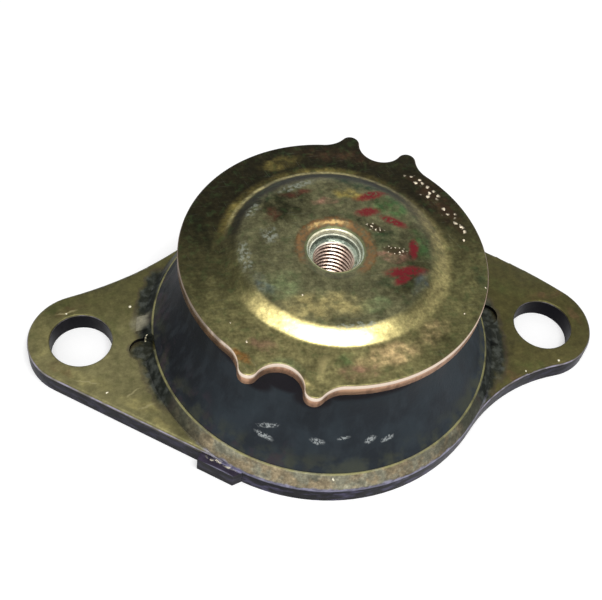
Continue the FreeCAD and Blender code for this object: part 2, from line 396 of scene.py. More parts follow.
# base plate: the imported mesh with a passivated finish

plate = {
    "near": paint(114, 109, 74),
    "far": paint(84, 81, 48),
    "right": paint(74, 70, 38),
    "rightNear": paint(84, 79, 46),
    "bright": paint(146, 138, 90),
    "green": paint(72, 78, 40),
    "brown": paint(98, 76, 52),
    "dark": paint(46, 44, 28),
    "side": paint(16, 14, 22),
    "sideLight": paint(96, 92, 124),
    "edgeHighlight": paint(172, 166, 186),
    "frontEdgeHighlight": paint(158, 156, 180),
    "lip": paint(140, 136, 92),
    "slope": paint(132, 130, 112),
    "slopeWarm": paint(142, 128, 102),
    "slopeSide": paint(52, 55, 44),
    "film": paint(32, 36, 33),
    "filmLight": paint(74, 78, 74),
    "filmEdge": paint(66, 54, 52),
    "ramp": paint(148, 144, 124),
    "tab": paint(66, 60, 76),
    "tones": [  # tone, strength, x, y, half length, half width, turn
        ("bright", 0.7, -51.5, -22.0, 7.0, 3.0, -30),
        ("bright", 0.55, -46.0, -28.4, 5.0, 1.8, -28),
        ("bright", 0.3, -66.0, -13.0, 12.0, 2.4, -24),
        ("bright", 0.35, -78.0, 0.0, 2.6, 8.0, 0),
        ("green", 0.6, -74.0, 12.0, 6.0, 3.4, 30),
        ("brown", 0.35, -71.0, 10.4, 7.0, 1.6, 22),
        ("dark", 0.5, -58.0, 21.0, 14.0, 2.6, 30),
        ("brown", 0.4, -73.0, -9.5, 6.0, 2.0, -36),
        ("green", 0.4, -60.0, 2.0, 5.0, 8.0, 0),
        ("brown", 0.5, 71.0, 10.6, 7.0, 1.8, 8),
        ("brown", 0.5, 78.4, 3.4, 1.6, 5.0, 24),
        ("brown", 0.5, 54.0, -18.0, 4.0, 1.6, -30),
        ("dark", 0.6, 54.4, -10.0, 2.4, 8.0, -14),
        ("green", 0.5, 60.0, -14.0, 8.0, 2.6, -12),
        ("green", 0.4, 60.0, 14.0, 9.0, 3.6, -28),
    ],
    "filmBands": [  # dark film on the slope and foot of the collar: from and to in degrees, outer radius
        (177.0, 206.0, 51.6),
        (153.0, 171.0, 53.0),
        (-19.0, 9.0, 54.2),
        (-31.0, -14.0, 51.8),
    ],
    "pocketSpots": [(-50.4, -4.1, 5.0, 4.6, 0), (50.8, 4.1, 5.0, 5.0, 0)],
    "scribbles": [
        (-50.0, -22.6, 2.8, 0.5, 20),
        (-53.6, -18.0, 3.0, 0.4, 40),
        (-71.6, 9.6, 4.0, 0.45, 14),
        (48.0, -14.6, 1.3, 0.5, 0),
        (-66.0, -14.0, 5.0, 0.3, -12),
    ],
    "flecks": [  # x, y, size
        (-53.9, 11.1, 0.55),
        (69.1, -13.2, 0.5),
        (58.3, -16.4, 0.4),
        (-2.8, -48.4, 0.35),
        (-49.6, -0.4, 0.3),
        (-71.9, 9.4, 0.3),
        (-60.5, -17.6, 0.35),
    ],
    "scribbleTone": paint(160, 152, 112),
    "fleckTone": paint(255, 248, 220),
    "rampPatch": (-51.4, 5.2, 3.6, 4.2),
    "holeAt": 67.6,
    "holeReach": (11.5, 10.8),  # radii in mm, as in the rings below
    "collarEdge": (51.0, 50.3),
    "lipRing": (47.4, 48.05),
    "bodyEdge": (49.6, 50.2),
    "collarFoot": (5.8, 6.3),  # heights in mm
    "lipFoot": (8.9, 9.15),
    "edgeTop": (6.03, 5.99),
    "edgeFoot": (4.2, 4.8),
    "tabTop": (4.95, 5.2),
    "tabStart": (-35.1, -37.7),
    "tabEnd": (-26.7, -42.8),
}


def plateMaterial():
    look = plate
    shader = newShader("plateSteel")
    point = shader.place()
    x, y, z = shader.split(point)
    radius = shader.reach(point)
    facing = shader.split(shader.node("ShaderNodeNewGeometry", out="Normal"))[2]
    ragged = wander(shader, point, 4, 4)
    crisp = wander(shader, point, 1.6, 1.6)
    veil = 0.35 + shader.spread(point, 2.6, 0.36, 0.66, 4)
    drift = shader.grain(point, 9, 3) * 16 - 8

    # painted light and shade: the ears are painted lighter on the near side and darker on the far side
    leftEarLitToShaded = shader.mix(look["near"], look["far"], shader.ramp(y + drift, -8.0, 17.0))
    rightEarLitToShaded = shader.mix(look["rightNear"], look["right"], shader.ramp(y + drift, -16.0, 4.0))
    colour = shader.mix(leftEarLitToShaded, rightEarLitToShaded, shader.ramp(x, -10.0, 25.0))
    colour = tinted(shader, ragged, colour, look, veil)
    tone = mottle(shader, point, 20, 0.55)
    colour = shader.shade(colour, tone)
    greenish = shader.spread(wander(shader, point, 4, 5), 3, 0.5, 0.7, 4)
    colour = shader.mix(colour, look["green"], greenish * 0.25)
    scored = streaks(shader, point, 20, 7, 0.2, 0.64, 0.8)
    scored = scored.over(streaks(shader, point, -50, 6, 0.2, 0.66, 0.8))
    colour = shader.mix(colour, look["bright"], scored * 0.22)
    scribbles = patches(shader, crisp, look["scribbles"])
    colour = shader.mix(colour, look["scribbleTone"], scribbles * 0.6)

    collar = shader.ramp(radius, *look["collarEdge"]) * shader.ramp(z, *look["collarFoot"])
    front = shader.ramp(shader.bearing(point, -95) + shader.grain(point, 5, 3) * 0.3, 0.72, 1.02)
    frontTone = shader.mix(look["slope"], look["slopeWarm"], shader.spread(point, 4, 0.42, 0.6, 4))
    collarTone = shader.mix(look["slopeSide"], frontTone, front)
    collarTone = shader.shade(collarTone, mottle(shader, point, 0, 1.2))
    colour = shader.mix(colour, collarTone, collar * 0.92)
    smeared = wander(shader, point, 2.6, 3.2)
    filmRadius = shader.reach(smeared)
    film = patches(shader, smeared, look["pocketSpots"])
    for first, last, outer in look["filmBands"]:
        middle = (first + last) / 2
        half = math.radians((last - first) / 2)
        near = shader.ramp(shader.bearing(smeared, middle), math.cos(half * 1.35), math.cos(half * 0.7))
        film = film.over(near * shader.ramp(filmRadius, outer + 1.6, outer - 1.6))
    film = film * shader.ramp(z, 4.4, 4.8) * shader.ramp(radius, 47.6, 48.0)
    filmTone = shader.mix(look["film"], look["filmLight"], shader.spread(point, 2.2, 0.42, 0.7, 4))
    colour = shader.mix(colour, look["filmEdge"], shader.band(film, 0.1, 0.5, 0.15) * 0.4)
    colour = shader.mix(colour, filmTone, shader.ramp(film, 0.1, 0.9) * 0.92)
    ramped = shader.spot(ragged, *look["rampPatch"]) * shader.ramp(z, 5.9, 6.1)
    colour = shader.mix(colour, shader.shade(look["ramp"], tone), ramped * 0.8)
    lip = shader.band(radius, *look["lipRing"], 0.15) * shader.ramp(z, *look["lipFoot"])
    colour = shader.mix(colour, look["lip"], lip * (0.3 + shader.spread(point, 5, 0.35, 0.6) * 0.6))

    # painted highlights on the rounded edge of the plate and a broader one in front, the tab with a painted
    # highlight on its edge, and painted shade on the side faces and in the holes
    roundedEdgeHighlight = shader.band(facing, 0.3, 0.66, 0.1)
    roundedEdgeHighlight = roundedEdgeHighlight * shader.ramp(z, *look["edgeTop"]) * shader.ramp(z, *look["edgeFoot"])
    outer = shader.ramp(radius, *look["bodyEdge"])
    ahead = shader.ramp(shader.bearing(point, -84), 0.5, 0.8) * shader.ramp(radius, 51.2, 50.8)
    frontHighlightLine = ahead * shader.ramp(z, 4.7, 5.3)
    frontHighlightLine = frontHighlightLine * shader.ramp(z + shader.grain(point, 2.4, 3) * 1.6, 7.2, 6.6)
    tab = shader.band(z, *look["tabTop"], 0.08) * shader.ramp(facing, 0.6, 0.9)
    tab = tab * shader.ramp(x, -20.0, -22.0) * shader.ramp(y, -30.0, -32.0)
    colour = shader.mix(colour, shader.shade(look["tab"], tone), tab)
    startX, startY = look["tabStart"]
    endX, endY = look["tabEnd"]
    middleX, middleY = (startX + endX) / 2, (startY + endY) / 2
    along = math.degrees(math.atan2(endY - startY, endX - startX))
    tabEdgeHighlight = shader.spot(point, middleX - 1.3, middleY - 2.2, 6.4, 0.85, along, 0.5)
    tabEdgeHighlight = tabEdgeHighlight * shader.ramp(facing, 0.1, 0.3)
    holes = [shader.reach(shader.mapped(point, (place, 0, 0))) for place in (look["holeAt"], -look["holeAt"])]
    hole = shader.ramp(holes[0].under(holes[1]), *look["holeReach"])
    # painted shade: the outer side faces and the hole walls are painted near black, lighter in patches in
    # front
    side = shader.ramp(facing, 0.4, 0.12) * outer * shader.ramp(facing, -0.9, -0.5)
    patchy = shader.spread(shader.mapped(point, scale=(2.4, 2.4, 1)), 1.8, 0.45, 0.7, 4)
    edge = shader.mix(look["side"], look["sideLight"], patchy * (0.25 + ahead * 0.4))
    colour = shader.mix(colour, edge, side)
    colour = shader.mix(colour, look["side"], hole * shader.ramp(facing, 0.5, 0.2))
    shine = 0.35 + shader.spread(point, 3.5, 0.4, 0.62) * 0.65
    colour = shader.mix(colour, look["edgeHighlight"], roundedEdgeHighlight * outer * shine * (1 - hole * 0.6))
    frontHighlightTone = shader.shade(look["frontEdgeHighlight"], 0.6 + shader.spread(point, 1.6, 0.35, 0.65, 4) * 0.6)
    colour = shader.mix(colour, frontHighlightTone, frontHighlightLine * 0.85)
    colour = shader.mix(colour, look["frontEdgeHighlight"], tabEdgeHighlight * 0.9)

    bright = patches(shader, crisp, [(across, up, size, size, 0) for across, up, size in look["flecks"]])
    crease = shader.spot(crisp, middleX - 0.2, middleY - 0.35, 5.4, 0.5, along)
    bright = bright.over(crease * shader.spread(point, 1.3, 0.42, 0.54) * shader.ramp(z, 4.6, 4.9))
    colour = shader.mix(colour, look["fleckTone"], bright)

    rough = 0.34 + shader.grain(point, 3, 4) * 0.16 + film * 0.2 + collar * 0.12
    metal = 0.9 - collar * (1 - film) * 0.3
    normal = shader.bump(shader.grain(point, 7, 2), 0.3, 0.6)
    normal = shader.bump(tone - scored * 0.5, 0.012, 0.8, normal)
    return shader.finish({"Base Color": colour, "Metallic": metal, "Roughness": rough, "Normal": normal})


# top disc: shape first, then its finish

disc = {
    "rimHeight": 41.0,
    "rimRadius": 41.0,
    "thickness": 3.8,
    "rise": 2.5,
    "shoulderRadius": 24.6,
    "slopeRun": 5.2,
    "shoulderRound": 9.0,
    "footRound": 2.5,
    "neckRadius": 7.6,
    "sunkRadius": 10.2,
    "sunkDepth": 0.9,
    "edgeRound": 0.6,
    "burrRound": 0.12,
    "notchAngle": -115.3,
    "notchRadius": 6.2,
    "notchDepth": 4.7,
    "lobeRadius": 2.6,
    "lobeReach": 4.2,
    "lobeBlend": 8.0,
    "plainRadius": 32.5,  # inside this the rim isn't pulled out to the lobes
    "rimSteps": 170,
    "lobeSteps": 112,
    "rimBackShade": paint(33, 30, 16),
    "rimSide": paint(88, 85, 54),
    "rimFrontLit": paint(112, 106, 70),
    "plateau": paint(92, 90, 64),
    "plateauShade": paint(58, 57, 36),
    "dark": paint(30, 31, 17),
    "darkBrown": paint(54, 40, 26),
    "deepGreen": paint(44, 60, 38),
    "green": paint(66, 90, 52),
    "paleGreen": paint(112, 122, 84),
    "pink": paint(140, 104, 86),
    "blue": paint(86, 96, 96),
    "gold": paint(134, 121, 66),
    "orange": paint(150, 98, 46),
    "warmSheen": paint(162, 150, 100),
    "paintedGlow": paint(206, 178, 128),
    "polishHighlight": paint(240, 222, 150),
    "dust": paint(150, 156, 142),
    "rust": paint(134, 100, 58),
    "rustHighlightTone": paint(204, 172, 112),
    "rustDark": paint(96, 68, 42),
    "paintedLighting": paint(178, 168, 116),
    "wax": paint(112, 16, 30),
    "brownRed": paint(78, 44, 34),
    "edgeShine": paint(255, 238, 220),
    "copper": paint(214, 168, 134),
    "copperShaded": paint(128, 84, 66),
    "tones": [  # tone, strength, x, y, half length, half width, turn
        # painted shade and light among the tones: the plain dark patches are painted shade, the bright warm
        # patches in front are painted light round the highlight
        ("plateauShade", 1.0, -12.0, 15.0, 13.0, 8.0, 35),
        ("plateauShade", 0.9, 20.0, -6.0, 8.0, 17.0, -12),
        ("dark", 0.6, -11.0, 16.0, 9.0, 5.0, 30),
        ("deepGreen", 0.8, 9.0, 23.0, 11.0, 2.6, -18),
        ("dark", 0.8, -17.5, 18.5, 8.0, 2.6, 46),
        ("gold", 1.0, 6.6, 19.0, 5.6, 2.6, -14),
        ("pink", 0.55, 0.2, 16.6, 5.5, 1.8, 5),
        ("brownRed", 0.6, -8.0, 19.4, 6.0, 1.8, 18),
        ("brownRed", 0.55, -15.4, 12.0, 4.0, 2.2, 60),
        ("dark", 0.7, 9.0, 9.0, 4.6, 2.0, -36),
        ("green", 0.9, 17.0, 14.5, 6.5, 5.0, -20),
        ("green", 0.7, 23.5, 0.5, 3.0, 7.0, 0),
        ("deepGreen", 0.7, 12.5, 2.5, 7.0, 3.4, 12),
        ("pink", 0.7, 14.4, -3.2, 6.0, 2.6, -12),
        ("blue", 0.6, 20.4, -12.4, 5.6, 2.2, 58),
        ("plateauShade", 0.7, 14.6, -14.0, 7.0, 4.0, 24),
        ("paleGreen", 0.7, 7.0, -19.0, 7.0, 3.0, 10),
        ("deepGreen", 0.5, 13.5, -11.5, 7.0, 2.6, 10),
        ("warmSheen", 0.9, -6.0, -18.5, 15.0, 5.4, 0),
        ("paleGreen", 0.6, -15.5, -12.0, 7.0, 6.0, 0),
        ("blue", 0.5, -20.0, -11.0, 5.0, 2.6, -58),
        ("darkBrown", 0.8, 6.0, 36.5, 16.0, 3.6, -8),
        ("darkBrown", 0.8, 31.5, 18.0, 13.0, 5.0, -62),
        ("gold", 0.4, -11.2, 33.4, 8.0, 3.4, 20),
        ("dark", 0.5, -35.0, 10.0, 3.4, 13.0, 14),
        ("deepGreen", 0.5, 37.5, -10.0, 2.4, 6.0, 14),
        ("paintedGlow", 0.6, 9.0, -32.6, 10.5, 4.4, 14),
        ("paintedGlow", 0.3, 22.0, -25.5, 7.0, 4.0, 40),
        ("green", 0.45, -1.5, -33.5, 3.4, 4.0, 0),
        ("pink", 0.5, 1.0, -37.0, 7.0, 3.2, 4),
        ("paleGreen", 0.4, -16.0, -34.5, 5.0, 3.0, -24),
        ("warmSheen", 0.8, -14.0, -39.5, 5.0, 2.4, -20),
        ("orange", 0.5, -26.8, -31.5, 4.4, 1.6, -40),
        ("pink", 0.4, -21.5, -28.0, 6.0, 2.6, -38),
    ],
    "dusty": [  # x, y, half length, half width, turn, as in the lists below
        (-23.8, -2.0, 2.0, 6.4, 4),
        (-8.0, 22.4, 7.4, 1.8, 24),
        (-20.6, 14.0, 1.8, 4.0, -34),
        (-17.0, 5.0, 3.0, 3.4, 0),
        (2.0, -24.6, 9.0, 0.9, 4),
    ],
    "waxStrokes": [
        (12.0, 18.2, 6.4, 1.9, 15),
        (10.3, 12.4, 4.6, 2.0, 6),
        (16.8, 8.8, 5.2, 1.8, -32),
        (20.6, -1.0, 4.4, 1.7, 78),
        (17.2, -8.5, 7.4, 2.3, 3),
        (16.0, -11.0, 3.6, 1.8, 30),
    ],
    "scuffed": [(11.6, 6.6, 3.4, 1.6, -36), (15.2, -1.2, 4.4, 1.7, -16)],
    "peened": [
        (26.2, 26.0, 3.4, 1.8, -46),
        (29.8, 20.8, 4.0, 2.4, -52),
        (33.2, 14.6, 3.4, 2.2, -62),
        (35.4, 8.6, 3.4, 2.0, -74),
    ],
    "crease": (-7.4, -34.4, 5.6, 1.8, 70),
    "flecks": [  # x, y, size
        (-25.4, -26.7, 0.42),
        (-10.3, -15.0, 0.3),
        (38.2, -12.3, 0.32),
        (-29.0, -21.0, 0.26),
        (31.0, -20.4, 0.24),
        (35.8, 3.8, 0.5),
    ],
    "fleckTone": paint(255, 240, 212),
    "creaseTone": paint(184, 170, 118),
    "plateauEdge": (27.0, 24.4),  # radii in mm, as in the rings below
    "highlightRing": (25.2, 29.4),
    "sheenRing": (26.4, 30.6),
    "shadowRing": (26.8, 28.3),
    "footReflectionRing": (28.8, 31.2),
    "reflectionLineRing": (28.7, 29.7),
    "rustDarkRing": (8.2, 10.9),
    "rustRing": (8.5, 10.4),
    "rustHighlightRing": (8.9, 9.9),
    "seatRing": (7.6, 8.1),
    "rustRoughRing": (8.0, 10.4),
    "frontWay": -104,  # bearings in degrees
    "leftWay": 170,
    "behindWay": 135,
    "sheenWay": -22,
    "shadowWay": 92,
    "reflectionLineWay": 101,
    "rustWay": 112,
    "rustSideWay": -6,
    "rustHighlightWay": 98,
    "brush": 4,
    "sideTop": (40.92, 40.75),  # heights in mm
    "sideHighlight": (39.8, 40.9),
    "sideFootShade": (37.5, 37.2),
}


def discMaterial():
    look = disc
    shader = newShader("discSteel")
    point = shader.place()
    x, y, z = shader.split(point)
    radius = shader.reach(point)
    ragged = wander(shader, point, 5, 5)
    crisp = wander(shader, point, 1.4, 1.5)
    veil = 0.35 + shader.spread(point, 2.6, 0.36, 0.66, 4)

    front = shader.bearing(point, look["frontWay"])  # painted light: the rim is painted brighter on the side towards the lamp and darker behind
    left = shader.bearing(point, look["leftWay"])
    sideShare = shader.ramp(front - left * 0.35 + shader.grain(point, 11, 3) * 0.4, -0.4, 0.8)
    rim = shader.mix(look["rimBackShade"], look["rimSide"], sideShare)
    foremost = shader.ramp(front + shader.grain(point, 6, 4) * 0.4, 0.75, 1.25)
    rim = shader.mix(rim, look["rimFrontLit"], foremost)
    colour = shader.mix(rim, look["plateau"], shader.ramp(radius, *look["plateauEdge"]))
    colour = tinted(shader, ragged, colour, look, veil)

    # slope of the raised centre: a painted highlight over polish in front, painted gold sheen on the right,
    # painted shade behind, painted reflections at the foot
    behind = shader.ramp(shader.bearing(point, look["behindWay"]), -0.1, 0.5)
    polishAndHighlight = shader.band(radius, *look["highlightRing"], 0.7) * shader.ramp(front, 0.62, 0.93)
    colour = shader.mix(colour, look["polishHighlight"], polishAndHighlight * 0.9)
    # painted sheen: warm gold on the right of the slope
    toTheRight = shader.ramp(shader.bearing(point, look["sheenWay"]), 0.2, 0.9)
    goldenSheen = shader.band(radius, *look["sheenRing"], 1.6) * toTheRight
    colour = shader.mix(colour, look["warmSheen"], goldenSheen * 0.5)
    shadowed = shader.ramp(shader.bearing(point, look["shadowWay"]), 0.3, 0.8)
    shadowed = shader.band(radius, *look["shadowRing"], 0.7) * shadowed
    colour = shader.mix(colour, look["dark"], shadowed * 0.9)
    # painted reflection: a soft gold band outside the foot of the slope behind
    uneven = 0.3 + shader.spread(ragged, 5, 0.35, 0.65) * 0.7
    footReflection = shader.band(radius, *look["footReflectionRing"], 1.2) * behind * uneven
    footReflection = footReflection * shader.ramp(shader.bearing(point, 90), 0.1, 0.5)
    colour = shader.mix(colour, look["gold"], footReflection * 0.6)
    # painted reflection: a thin bright line at the foot of the slope behind
    footReflectionLine = shader.ramp(shader.bearing(point, look["reflectionLineWay"]), 0.3, 0.95)
    footReflectionLine = shader.band(radius, *look["reflectionLineRing"], 0.5) * footReflectionLine
    colour = shader.mix(colour, look["paintedLighting"], footReflectionLine * (0.35 + shader.spread(point, 3, 0.4, 0.62) * 0.65))

    tone = mottle(shader, point, look["brush"])
    colour = shader.shade(colour, tone)
    greenish = shader.spread(wander(shader, point, 3, 4), 2.4, 0.5, 0.7, 4)
    colour = shader.mix(colour, look["green"], greenish * 0.22 * shader.ramp(polishAndHighlight, 0.6, 0.1))
    scored = streaks(shader, point, 8, 7, 0.2, 0.64, 0.8)
    scored = scored.over(streaks(shader, point, -66, 6, 0.16, 0.66, 0.8))
    colour = shader.mix(colour, look["dust"], scored * 0.2)

    dust = patches(shader, wander(shader, point, 2.2, 3.5), look["dusty"])
    dust = dust * shader.spread(point, 1.0, 0.4, 0.62, 5)
    colour = shader.mix(colour, look["dust"], dust * 0.6)
    wax = patches(shader, crisp, look["waxStrokes"]) * shader.spread(point, 0.8, 0.3, 0.48, 4)
    colour = shader.mix(colour, look["wax"], wax * 0.9)

    # rust round the bush, strongest behind it and on the right
    around = shader.reach(crisp)
    blotched = shader.spread(point, 1.3, 0.36, 0.62, 4)
    behindIt = shader.bearing(point, look["rustWay"]) + shader.grain(point, 2.0, 4) * 1.2
    onTheRight = shader.bearing(point, look["rustSideWay"]) + shader.grain(point, 2.4, 4) * 0.8
    rusty = shader.ramp(behindIt, 0.25, 1.2).over(shader.ramp(onTheRight, 0.85, 1.3) * 0.9)
    rustShade = shader.band(around, *look["rustDarkRing"], 0.5) * rusty * (0.35 + blotched * 0.55)
    colour = shader.mix(colour, look["rustDark"], rustShade)
    rust = shader.band(around, *look["rustRing"], 0.5) * rusty * blotched
    colour = shader.mix(colour, look["rust"], rust * 0.85)
    # painted highlight: a light line on the rust ring behind the bush
    rustHighlight = shader.band(around, *look["rustHighlightRing"], 0.3)
    rustHighlight = rustHighlight * shader.ramp(shader.bearing(point, look["rustHighlightWay"]), 0.72, 0.97)
    rustHighlight = rustHighlight * (0.3 + shader.spread(crisp, 0.8, 0.4, 0.6) * 0.6)
    colour = shader.mix(colour, look["rustHighlightTone"], rustHighlight)
    colour = shader.mix(colour, look["paleGreen"], shader.band(radius, *look["seatRing"], 0.2) * 0.5)

    scuffs = patches(shader, crisp, look["scuffed"])
    colour = shader.mix(colour, look["darkBrown"], scuffs * 0.75)
    glints = scuffs * specks(shader, crisp, 1.0, 0.34)
    place = patches(shader, ragged, look["peened"])
    colour = shader.mix(colour, look["darkBrown"], place * 0.6)
    glints = glints.over(place * specks(shader, crisp, 1.7, 0.4))
    for across, up, size in look["flecks"]:
        glints = glints.over(shader.spot(crisp, across, up, size, size))
    colour = shader.mix(colour, look["fleckTone"], glints)
    crease = shader.spot(crisp, *look["crease"], 0.0)
    colour = shader.mix(colour, look["creaseTone"], crease * 0.4)

    # copper-coloured side of the rim, with a painted highlight along its top and at the lobes, painted
    # lighter in front, painted shade on the left and along its foot
    side = shader.ramp(z, *look["sideTop"]) * shader.ramp(radius, 36.0, 37.0)
    wornAndLit = shader.ramp(front + shader.grain(point, 5, 3) * 0.7, 0.2, 1.1)
    streaky = shader.spread(shader.mapped(point, scale=(1, 1, 3)), 1.6, 0.35, 0.62, 4)
    edge = shader.mix(look["copperShaded"], look["copper"], wornAndLit * (0.5 + streaky * 0.7))
    tips = shader.ramp(radius, 42.2, 44.4)
    sideHighlight = shader.band(z, *look["sideHighlight"], 0.3) * (0.15 + wornAndLit * 0.75).over(tips)
    edge = shader.mix(edge, look["edgeShine"], sideHighlight)
    stainAndShade = shader.ramp(left + shader.grain(point, 3, 4) * 0.8, 0.85, 1.2)
    edge = shader.mix(edge, look["darkBrown"], (stainAndShade * 0.7).over(shader.ramp(z, *look["sideFootShade"]) * 0.6))
    colour = shader.mix(colour, edge, side)
    # painted shade on the underside of the disc
    colour = shader.mix(colour, look["darkBrown"], shader.ramp(z, 37.25, 37.2))

    rough = 0.3 + shader.grain(point, 3, 4) * 0.14 + dust * 0.25 + wax * 0.3 - polishAndHighlight * 0.08
    metal = 0.94 - dust * 0.4 - wax * 0.15 - shader.band(radius, *look["rustRoughRing"], 0.3) * rusty * 0.3
    normal = shader.bump(shader.grain(point, 9, 2), 0.3, 0.5)
    normal = shader.bump(tone - scored * 0.5, 0.01, 0.8, normal)
    normal = shader.bump(crease + glints, 0.2, 0.7, normal)
    return shader.finish({"Base Color": colour, "Metallic": metal, "Roughness": rough, "Normal": normal})


def onTriangle(base, first, second):  # angle at the axis between the sides base and first, opposite second
    return math.acos((base ** 2 + first ** 2 - second ** 2) / (2 * base * first))


def discLobes():  # arcs of one half of a lobe pair as (centre, radius, from, to), from the notch out
    rim, lobe, blend = disc["rimRadius"], disc["lobeRadius"], disc["lobeBlend"]
    notchAt = rim + disc["lobeReach"] - disc["notchDepth"] + disc["notchRadius"] - lobe
    lobeAt = rim + disc["lobeReach"] - lobe
    blendAt = rim + blend
    lobeTurn = onTriangle(notchAt, lobeAt, disc["notchRadius"] + lobe)
    blendTurn = lobeTurn + onTriangle(lobeAt, blendAt, lobe + blend)
    notchCentre = Vector((notchAt, 0))
    lobeCentre = Vector((lobeAt * math.cos(lobeTurn), lobeAt * math.sin(lobeTurn)))
    blendCentre = Vector((blendAt * math.cos(blendTurn), blendAt * math.sin(blendTurn)))
    toLobe = math.atan2(*(lobeCentre - notchCentre).yx)
    toBlend = math.atan2(*(blendCentre - lobeCentre).yx)
    return blendTurn, [
        (notchCentre, disc["notchRadius"], math.pi, toLobe),
        (lobeCentre, lobe, toLobe - math.pi, toBlend),
        (blendCentre, blend, toBlend + math.pi, blendTurn + math.pi),
    ]


def lobePoint(arcs, share, inset):  # point inside the outline, share 0 (notch, on X) to 1 (plain rim)
    lengths = [radius * abs(end - start) for centre, radius, start, end in arcs]
    along = share * sum(lengths)
    for (centre, radius, start, end), length in zip(arcs, lengths):
        if along <= length or length == lengths[-1]:
            angle = start + (end - start) * min(along / length, 1.0)
            reach = radius - inset if radius == disc["lobeRadius"] else radius + inset
            return centre + Vector((math.cos(angle), math.sin(angle))) * reach
        along -= length


def pullRim(mesh):
    blendTurn, arcs = discLobes()
    for vert in mesh.verts:
        radius = vert.co.xy.length / mm
        share = smoothShare((radius - disc["plainRadius"]) / (disc["rimRadius"] - disc["plainRadius"]))
        angle = math.atan2(vert.co.y, vert.co.x) - math.radians(disc["notchAngle"])
        angle = (angle + math.pi / 2) % math.pi - math.pi / 2  # the same on both sides
        if share == 0 or abs(angle) >= blendTurn:
            continue
        along = abs(angle) / blendTurn
        inset = disc["rimRadius"] - radius
        pulled = lobePoint(arcs, along, 0) * (radius / disc["rimRadius"])
        square = lobePoint(arcs, along, min(inset, 2.0))  # near the rim the rings keep their distance
        here = Vector((radius * math.cos(angle), radius * math.sin(abs(angle))))
        target = here.lerp(pulled, share).lerp(square, smoothShare((2.2 - inset) / 1.2))
        target.y = math.copysign(target.y, angle)
        turned = Matrix.Rotation(math.atan2(vert.co.y, vert.co.x) - angle, 2)
        vert.co.xy = turned @ target * mm


def makeTopDisc(material):
    rim, top, under = disc["rimRadius"], disc["rimHeight"], disc["rimHeight"] - disc["thickness"]
    high = top + disc["rise"]
    foot = disc["shoulderRadius"] + disc["slopeRun"]
    lean = math.atan2(disc["rise"], disc["slopeRun"])
    inset = disc["thickness"] * math.tan(lean / 2)
    shoulderCut = disc["shoulderRound"] * math.tan(lean / 2)
    footCut = disc["footRound"] * math.tan(lean / 2)
    flat = [(radius, high, 0) for radius in (12, 14, 16, 18, 20)]
    plain = [(radius, top, 0) for radius in (32.5, 34, 35.5, 37, 38.2, 39.3, 40.1)]
    belowFlat = high - disc["thickness"]
    neck, shoulder = disc["neckRadius"], disc["shoulderRadius"]
    section = [(neck, belowFlat, 0), (neck, high - disc["sunkDepth"], 0), (disc["sunkRadius"], high, 0.25)]
    section += flat + [(shoulder, high, shoulderCut), (foot, top, footCut)] + plain
    section += [(rim, top, 0), (rim, under, 0)]
    section += [(radius, under, 0) for radius, height, rounding in reversed(plain)]
    section += [(foot - inset, under, 0.9), (shoulder - inset, belowFlat, 1.2), (neck, belowFlat, 0)]
    mesh = lathe(section)
    start = disc["notchAngle"] + 180 - math.degrees(discLobes()[0])
    bmesh.ops.rotate(mesh, verts=mesh.verts, matrix=Matrix.Rotation(math.radians(start), 3, "Z"))
    window = 2 * math.degrees(discLobes()[0])
    turn(mesh, [(window, disc["lobeSteps"]), (180 - window, disc["rimSteps"])] * 2)
    edges = {"top": [], "under": []}
    for edge in mesh.edges:
        if all(abs(vert.co.xy.length - rim * mm) < 1e-5 for vert in edge.verts):
            heights = [vert.co.z / mm for vert in edge.verts]
            for name, level in (("top", top), ("under", under)):
                if all(abs(height - level) < 0.01 for height in heights):
                    edges[name].append(edge)
    pullRim(mesh)
    for name, size, steps in (("top", disc["edgeRound"], 4), ("under", disc["burrRound"], 1)):
        soften(mesh, edges[name], size, steps, "EDGES")
    bmesh.ops.recalc_face_normals(mesh, faces=mesh.faces)
    sharpen(mesh, 50)
    addPiece("topDisc", mesh, material, "top_disc")


# threaded bush

bush = {
    "top": 42.6,
    "neckRadius": 7.6,
    "seat": 39.7,
    "bodyRadius": 10.5,
    "bottom": 21.0,
    "bottomRound": 1.5,
    "mouthRings": [  # radius and height from the lead-in up to the lip
        (6.46, 40.35),
        (6.52, 41.0),
        (6.6, 41.12),
        (6.85, 41.18),
        (6.92, 41.3),
        (7.0, 42.1),
        (7.1, 42.36),
        (7.24, 42.53),
        (7.4, 42.6),
    ],
    "ledge": 41.1,
    "leadInRadius": 6.4,
    "leadInHeight": 39.9,
    "threadTop": 39.3,
    "threadEnd": 23.8,
    "minorRadius": 5.188,
    "majorRadius": 6.0,
    "pitch": 1.5,
    "steps": 72,
    "lip": paint(158, 166, 146),
    "lipBackLit": paint(236, 230, 198),
    "lipFront": paint(158, 154, 112),
    "wall": paint(172, 182, 162),
    "wallBack": paint(140, 150, 134),
    "hatch": paint(70, 82, 72),
    "ledgeHighlight": paint(240, 240, 220),
    "start": paint(236, 226, 208),
    "valleyShade": paint(98, 80, 72),
    "crest": paint(190, 166, 150),
    "threadHighlight": paint(255, 240, 226),
    "threadHighlightWay": 81,  # bearings in degrees
    "backWay": 98,
    "frontWay": -98,
    "lipFoot": (41.25, 41.7),  # heights in mm
    "dullWall": (39.7, 42.2),
}


